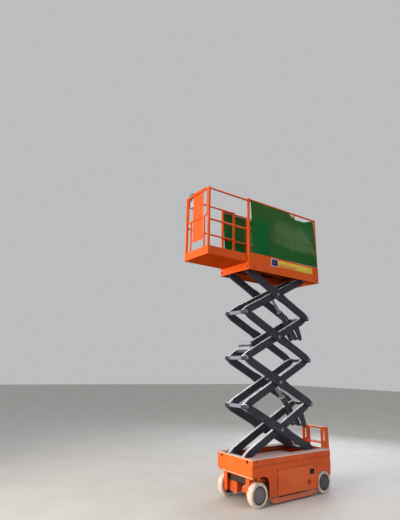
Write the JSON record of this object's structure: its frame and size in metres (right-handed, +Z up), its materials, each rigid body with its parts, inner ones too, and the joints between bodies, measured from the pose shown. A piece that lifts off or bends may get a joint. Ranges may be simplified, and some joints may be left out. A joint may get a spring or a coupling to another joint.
{
  "type": "electric scissor lift",
  "caption": "Narrow electric scissor lift with four arm levels, extension deck, guard rails with debris netting, steered wheels and rear ladder.",
  "frame": {"origin": "on the floor, midway between the ladder's back edge and the front of the pushed-out extension deck, on the middle plane", "axes": "+X towards the steering end, +Y to the machine's left, +Z up"},
  "size_m": [2.836, 0.82, 4.9054],
  "materials": {
    "body_paint": "orange enamel, semi-gloss, worn at the edges",
    "arm_paint": "dark slate grey enamel, satin",
    "deck_steel": "orange enamel under pale dust",
    "axle_steel": "dark painted steel with grease and dust",
    "chrome_rod": "hard chrome, ground",
    "tyre": "pale non-marking solid rubber, scuffed",
    "wheel_disc": "grey powder coat",
    "battery_case": "black moulded polypropylene",
    "stop_red": "red moulded plastic",
    "control_plastic": "black moulded plastic",
    "netting": "green woven polyethylene debris net"
  },
  "bodies": {
    "chassis": {"base_frame": "body_paint", "front_plate": "body_paint", "deck_covers": "deck_steel", "battery_packs": "battery_case", "front_axle": "body_paint", "rear_axle": "axle_steel", "entry_ladder": "body_paint"},
    "left_door": {"left_door": "body_paint", "left_stop_button": "stop_red"},
    "right_door": {"right_door": "body_paint"},
    "left_guard": {"left_guard": "body_paint"},
    "right_guard": {"right_guard": "body_paint"},
    "left_knuckle": {"left_knuckle": "body_paint", "left_drive_motor": "body_paint"},
    "right_knuckle": {"right_knuckle": "body_paint", "right_drive_motor": "body_paint"},
    "tie_rod": {"tie_rod": "axle_steel"},
    "platform": {"platform_deck": "body_paint", "platform_rails": "body_paint", "left_net": "netting", "right_net": "netting"},
    "extension": {"extension_deck": "body_paint", "extension_rails": "body_paint", "platform_controls": "control_plastic"},
    "gate": {"entry_gate": "body_paint"},
    "front_left_wheel": {"front_left_tyre": "tyre", "front_left_rim": "wheel_disc"},
    "front_right_wheel": {"front_right_tyre": "tyre", "front_right_rim": "wheel_disc"},
    "rear_left_wheel": {"rear_left_tyre": "tyre", "rear_left_rim": "wheel_disc"},
    "rear_right_wheel": {"rear_right_tyre": "tyre", "rear_right_rim": "wheel_disc"},
    "level_1_inner": {"level_1_inner_arms": "arm_paint"},
    "level_1_outer": {"level_1_outer_arms": "arm_paint"},
    "level_2_inner": {"level_2_inner_arms": "arm_paint"},
    "level_2_outer": {"level_2_outer_arms": "arm_paint"},
    "level_3_inner": {"level_3_inner_arms": "arm_paint"},
    "level_3_outer": {"level_3_outer_arms": "arm_paint"},
    "level_4_inner": {"level_4_inner_arms": "arm_paint"},
    "level_4_outer": {"level_4_outer_arms": "arm_paint"},
    "lower_barrel": {"lower_cylinder_barrel": "arm_paint"},
    "lower_rod": {"lower_cylinder_rod": "chrome_rod"},
    "upper_barrel": {"upper_cylinder_barrel": "arm_paint"},
    "upper_rod": {"upper_cylinder_rod": "chrome_rod"}
  },
  "joints": [
    {"name": "scissor_lift", "type": "hinge", "parent": "chassis", "child": "level_1_inner", "pos_m": [0.552, 0, 0.634], "axis": [0, 1, 0], "range_deg": [-20.9, 24]},
    {"name": "level_1_centre", "type": "hinge", "parent": "level_1_inner", "child": "level_1_outer", "pos_m": [-0.19907, 0, 1.00455], "axis": [0, 1, 0], "range_deg": [-48, 41.8]},
    {"name": "level_2_rear", "type": "hinge", "parent": "level_1_inner", "child": "level_2_outer", "pos_m": [-0.95013, 0, 1.3751], "axis": [0, 1, 0], "range_deg": [-48, 41.8]},
    {"name": "level_2_centre", "type": "hinge", "parent": "level_2_outer", "child": "level_2_inner", "pos_m": [-0.19907, 0, 1.74564], "axis": [0, 1, 0], "range_deg": [-41.8, 48]},
    {"name": "level_3_front", "type": "hinge", "parent": "level_2_outer", "child": "level_3_inner", "pos_m": [0.552, 0, 2.11619], "axis": [0, 1, 0], "range_deg": [-41.8, 48]},
    {"name": "level_3_centre", "type": "hinge", "parent": "level_3_inner", "child": "level_3_outer", "pos_m": [-0.19907, 0, 2.48674], "axis": [0, 1, 0], "range_deg": [-48, 41.8]},
    {"name": "level_4_rear", "type": "hinge", "parent": "level_3_inner", "child": "level_4_outer", "pos_m": [-0.95013, 0, 2.85729], "axis": [0, 1, 0], "range_deg": [-48, 41.8]},
    {"name": "level_4_centre", "type": "hinge", "parent": "level_4_outer", "child": "level_4_inner", "pos_m": [-0.19907, 0, 3.22783], "axis": [0, 1, 0], "range_deg": [-41.8, 48]},
    {"name": "platform_front", "type": "hinge", "parent": "level_4_outer", "child": "platform", "pos_m": [0.552, 0, 3.59838], "axis": [0, 1, 0], "range_deg": [-20.9, 24]},
    {"name": "lower_cylinder_pivot", "type": "hinge", "parent": "level_1_inner", "child": "lower_barrel", "pos_m": [-0.87586, 0, 1.0318], "axis": [0, 1, 0], "range_deg": [-37.5, 32.66]},
    {"name": "lower_cylinder_stroke", "type": "slide", "parent": "lower_barrel", "child": "lower_rod", "axis": [0.6552, 0, 0.7554], "range_m": [-0.22886, 0.2628]},
    {"name": "upper_cylinder_pivot", "type": "hinge", "parent": "level_3_inner", "child": "upper_barrel", "pos_m": [-0.87586, 0, 2.51399], "axis": [0, 1, 0], "range_deg": [-37.5, 32.66]},
    {"name": "upper_cylinder_stroke", "type": "slide", "parent": "upper_barrel", "child": "upper_rod", "axis": [0.6552, 0, 0.7554], "range_m": [-0.22886, 0.2628]},
    {"name": "steering", "type": "hinge", "parent": "chassis", "child": "left_knuckle", "pos_m": [0.451, 0.245, 0], "axis": [0, 0, 1], "range_deg": [-45, 45]},
    {"name": "right_steering", "type": "hinge", "parent": "chassis", "child": "right_knuckle", "pos_m": [0.451, -0.245, 0], "axis": [0, 0, 1], "range_deg": [-45, 45]},
    {"name": "tie_rod_pivot", "type": "hinge", "parent": "left_knuckle", "child": "tie_rod", "pos_m": [0.341, 0.245, 0], "axis": [0, 0, 1], "range_deg": [-45, 45]},
    {"name": "front_left_roll", "type": "hinge", "parent": "left_knuckle", "child": "front_left_wheel", "pos_m": [0.451, 0.347, 0.169], "axis": [0, 1, 0], "continuous": true},
    {"name": "front_right_roll", "type": "hinge", "parent": "right_knuckle", "child": "front_right_wheel", "pos_m": [0.451, -0.347, 0.169], "axis": [0, 1, 0], "continuous": true},
    {"name": "rear_left_roll", "type": "hinge", "parent": "chassis", "child": "rear_left_wheel", "pos_m": [-1.004, 0.347, 0.169], "axis": [0, 1, 0], "continuous": true},
    {"name": "rear_right_roll", "type": "hinge", "parent": "chassis", "child": "rear_right_wheel", "pos_m": [-1.004, -0.347, 0.169], "axis": [0, 1, 0], "continuous": true},
    {"name": "left_door_hinge", "type": "hinge", "parent": "chassis", "child": "left_door", "pos_m": [0.0795, 0.403, 0.29], "axis": [0, 0, -1], "range_deg": [0, 110]},
    {"name": "right_door_hinge", "type": "hinge", "parent": "chassis", "child": "right_door", "pos_m": [0.0795, -0.403, 0.29], "axis": [0, 0, 1], "range_deg": [0, 110]},
    {"name": "left_guard_hinge", "type": "hinge", "parent": "chassis", "child": "left_guard", "pos_m": [-0.2885, 0.389, 0.097], "axis": [-1, 0, 0], "range_deg": [0, 88]},
    {"name": "right_guard_hinge", "type": "hinge", "parent": "chassis", "child": "right_guard", "pos_m": [-0.2885, -0.389, 0.097], "axis": [1, 0, 0], "range_deg": [0, 88]},
    {"name": "extension_slide", "type": "slide", "parent": "platform", "child": "extension", "axis": [1, 0, 0], "range_m": [-0.8, 0]},
    {"name": "gate_hinge", "type": "hinge", "parent": "platform", "child": "gate", "pos_m": [-1.121, -0.3317, 4.06838], "axis": [0, 0, -1], "range_deg": [0, 90]}
  ],
  "couplings": [
    {"joint": "level_1_centre", "follows": "scissor_lift", "ratio": -2},
    {"joint": "level_2_rear", "follows": "scissor_lift", "ratio": -2},
    {"joint": "level_2_centre", "follows": "scissor_lift", "ratio": 2},
    {"joint": "level_3_front", "follows": "scissor_lift", "ratio": 2},
    {"joint": "level_3_centre", "follows": "scissor_lift", "ratio": -2},
    {"joint": "level_4_rear", "follows": "scissor_lift", "ratio": -2},
    {"joint": "level_4_centre", "follows": "scissor_lift", "ratio": 2},
    {"joint": "platform_front", "follows": "scissor_lift", "ratio": 1},
    {"joint": "lower_cylinder_pivot", "follows": "scissor_lift", "ratio": -1.5625},
    {"joint": "lower_cylinder_stroke", "follows": "scissor_lift", "m_per_rad": 0.62739},
    {"joint": "upper_cylinder_pivot", "follows": "scissor_lift", "ratio": -1.5625},
    {"joint": "upper_cylinder_stroke", "follows": "scissor_lift", "m_per_rad": 0.62739},
    {"joint": "right_steering", "follows": "steering", "ratio": 1},
    {"joint": "tie_rod_pivot", "follows": "steering", "ratio": -1}
  ]
}
